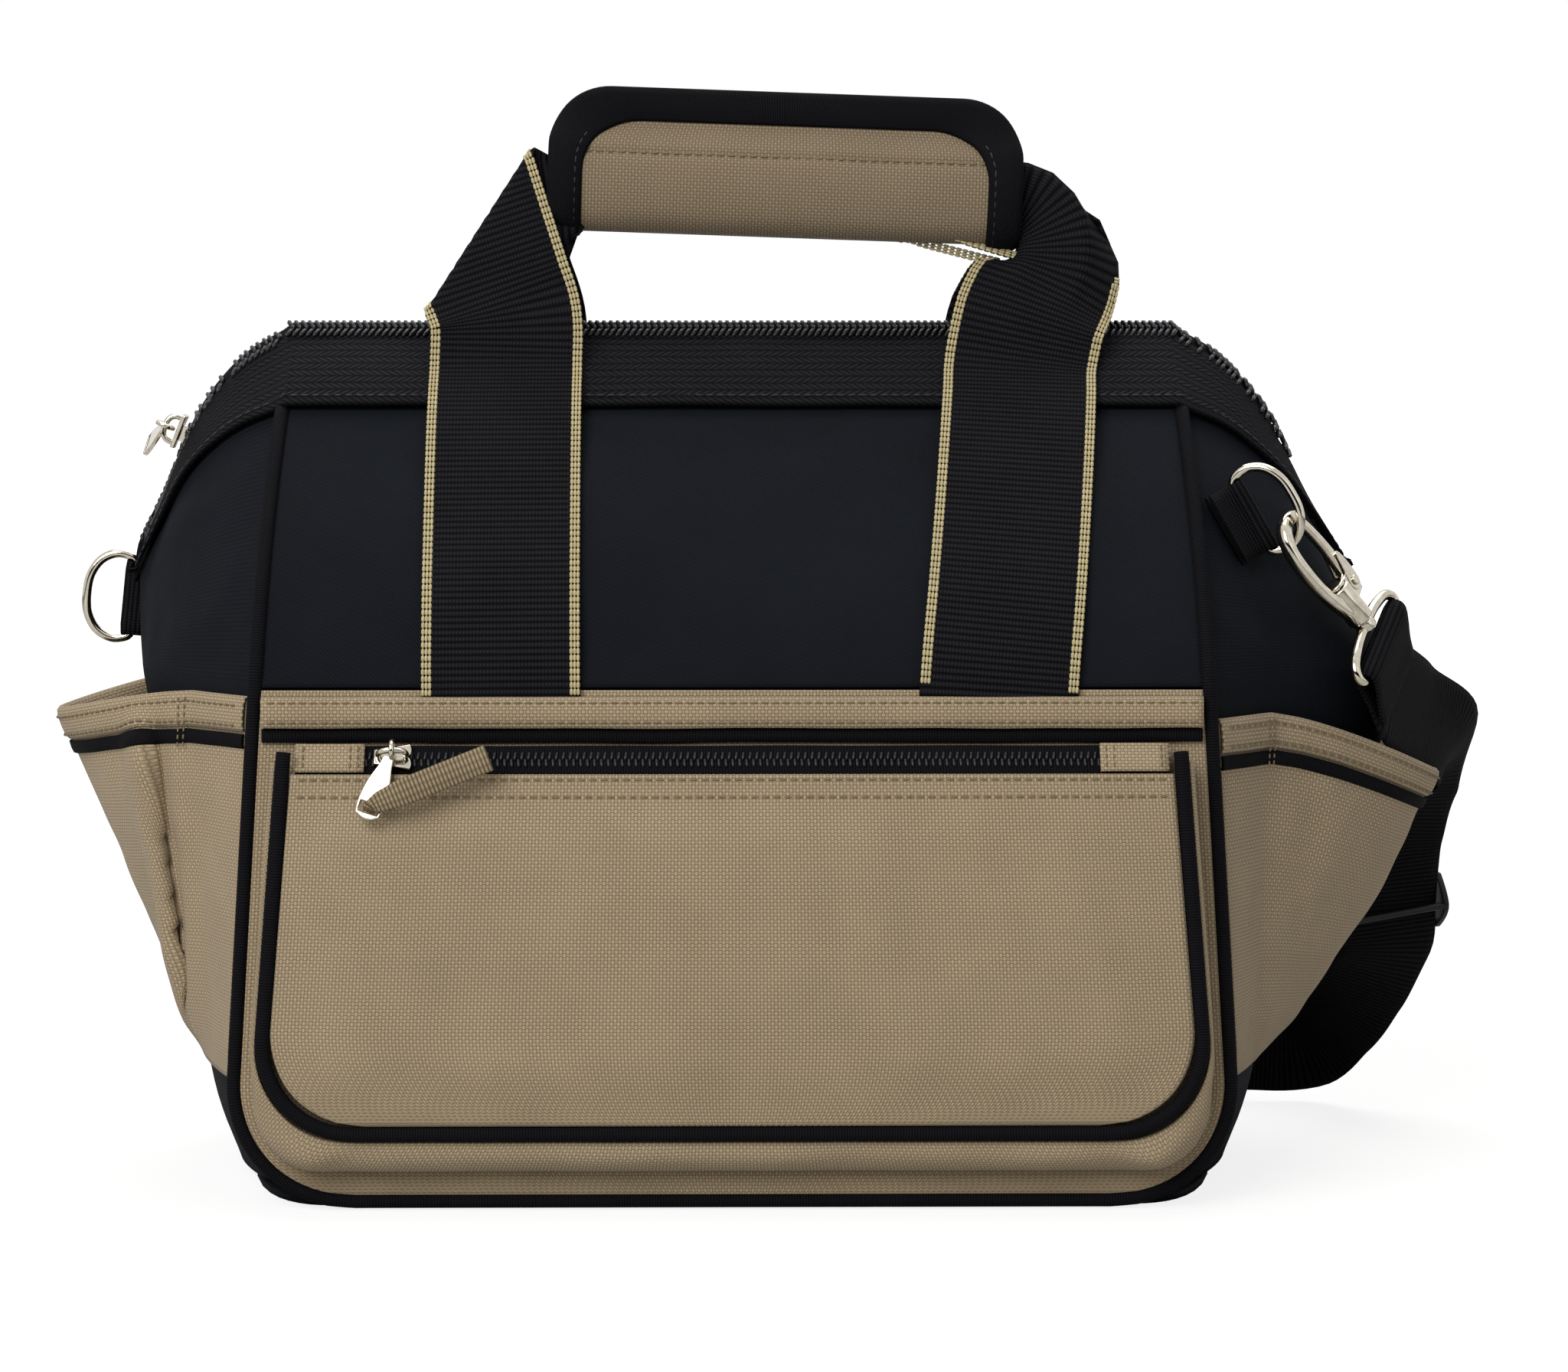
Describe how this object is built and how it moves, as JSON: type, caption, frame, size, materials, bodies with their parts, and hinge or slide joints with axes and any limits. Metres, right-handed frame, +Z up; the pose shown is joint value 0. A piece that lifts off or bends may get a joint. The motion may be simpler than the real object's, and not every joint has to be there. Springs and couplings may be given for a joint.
{
  "type": "tool tote bag",
  "caption": "Zip-top canvas tool tote with a front zip pocket, flared open end pockets, webbing handles joined in a padded grip wrap, end D-rings and a clip-on shoulder strap.",
  "frame": {"origin": "middle of the base, on the surface the bag stands on", "axes": "+X to the viewer's right along the length, -Y out of the front pocket, +Z up"},
  "size_m": [0.4923, 0.2607, 0.3623],
  "materials": {
    "tan_canvas": "tan polyester canvas, plain basket weave, matt",
    "tan_webbing": "tan flat woven tape, matt",
    "black_twill": "black polyester twill, faint sheen",
    "black_webbing": "black ribbed webbing and grosgrain, matt",
    "black_nylon": "black moulded nylon and coil",
    "nickel": "nickel-plated zinc and steel, bright"
  },
  "bodies": {
    "bag": {"front_lower_panel": "tan_canvas", "back_lower_panel": "tan_canvas", "front_pocket_gusset": "tan_canvas", "front_pocket_face": "tan_canvas", "left_pocket": "tan_canvas", "right_pocket": "tan_canvas", "grip_back_wrap": "tan_canvas", "zip_end_tab_left": "tan_webbing", "zip_end_tab_right": "tan_webbing", "front_top_binding": "tan_webbing", "back_top_binding": "tan_webbing", "left_pocket_binding": "tan_webbing", "right_pocket_binding": "tan_webbing", "left_end_panel": "black_twill", "right_end_panel": "black_twill", "base_panel": "black_twill", "front_upper_panel": "black_twill", "back_upper_panel": "black_twill", "front_piping": "black_twill", "back_piping": "black_twill", "front_pocket_piping": "black_twill", "front_mouth_webbing": "black_webbing", "back_mouth_webbing": "black_webbing", "front_ribbon": "black_webbing", "back_ribbon": "black_webbing", "left_pocket_ribbon": "black_webbing", "right_pocket_ribbon": "black_webbing", "front_handle_strap": "black_webbing", "back_handle_strap": "black_webbing", "grip_back_binding": "black_webbing", "left_dring_tab": "black_webbing", "right_dring_tab": "black_webbing", "shoulder_strap": "black_webbing", "front_mouth_zip": "black_nylon", "back_mouth_zip": "black_nylon", "front_pocket_zip": "black_nylon", "grip_loop_tape": "black_nylon", "base_board": "black_nylon", "snap_hook_eye": "nickel", "far_hook_eye": "nickel"},
    "pocket_slider": {"pocket_slider": "nickel"},
    "pocket_pull": {"pocket_slider_pull": "nickel", "pocket_pull_tab": "tan_webbing"},
    "top_slider": {"top_slider": "nickel"},
    "top_pull": {"top_slider_pull": "nickel"},
    "left_dring": {"left_dring": "nickel"},
    "right_dring": {"right_dring": "nickel"},
    "snap_hook": {"snap_hook": "nickel", "snap_hook_rivet": "nickel"},
    "snap_hook_gate": {"snap_hook_gate": "nickel"},
    "far_hook": {"far_hook": "nickel", "far_hook_rivet": "nickel"},
    "far_hook_gate": {"far_hook_gate": "nickel"},
    "strap_adjuster": {"strap_adjuster": "black_nylon"},
    "grip_flap": {"grip_front_wrap": "tan_canvas", "grip_front_binding": "black_webbing", "grip_hook_tape": "black_nylon"}
  },
  "joints": [
    {"name": "pocket_zip_travel", "type": "slide", "parent": "bag", "child": "pocket_slider", "axis": [1, 0, 0], "range_m": [0, 0.2]},
    {"name": "pocket_pull_swing", "type": "hinge", "parent": "pocket_slider", "child": "pocket_pull", "pos_m": [-0.108, -0.10834, 0.14979], "axis": [1, 0, 0], "range_deg": [-120, 0]},
    {"name": "top_zip_travel", "type": "slide", "parent": "bag", "child": "top_slider", "axis": [-0.3897, 0, -0.921], "range_m": [0, 0.02]},
    {"name": "top_pull_swing", "type": "hinge", "parent": "top_slider", "child": "top_pull", "pos_m": [-0.19186, 0, 0.2498], "axis": [0.3897, 0, 0.921], "range_deg": [0, 120]},
    {"name": "left_dring_swing", "type": "hinge", "parent": "bag", "child": "left_dring", "pos_m": [-0.20524, 0.01164, 0.19082], "axis": [-0.1093, 0.0329, -0.9935], "range_deg": [-55, 70]},
    {"name": "right_dring_swing", "type": "hinge", "parent": "bag", "child": "right_dring", "pos_m": [0.17058, -0.05167, 0.22122], "axis": [0.4897, -0.0825, -0.868], "range_deg": [0, 6]},
    {"name": "snap_hook_swivel", "type": "hinge", "parent": "bag", "child": "snap_hook", "pos_m": [0.20491, -0.04592, 0.19035], "axis": [-0.6177, -0.2989, 0.7274], "range_deg": [0, 12]},
    {"name": "snap_hook_gate_swing", "type": "hinge", "parent": "snap_hook", "child": "snap_hook_gate", "pos_m": [0.2041, -0.04116, 0.19878], "axis": [0.7296, -0.563, 0.3883], "range_deg": [0, 5], "stiffness_Nm_per_rad": 0.02, "springref_deg": -11.46},
    {"name": "far_hook_swivel", "type": "hinge", "parent": "bag", "child": "far_hook", "pos_m": [-0.0966, 0.138, 0.023], "axis": [-1, 0, 0], "continuous": true},
    {"name": "far_hook_gate_swing", "type": "hinge", "parent": "far_hook", "child": "far_hook_gate", "pos_m": [-0.1018, 0.138, 0.0312], "axis": [0, -1, 0], "range_deg": [0, 20], "stiffness_Nm_per_rad": 0.02, "springref_deg": -11.46},
    {"name": "strap_adjuster_slide", "type": "slide", "parent": "bag", "child": "strap_adjuster", "axis": [0.0398, 0.2612, -0.9645], "range_m": [-0.002, 0.003]},
    {"name": "grip_flap_open", "type": "hinge", "parent": "bag", "child": "grip_flap", "pos_m": [0.01718, 0, 0.31301], "axis": [0.9994, 0, -0.035], "range_deg": [0, 38]}
  ]
}
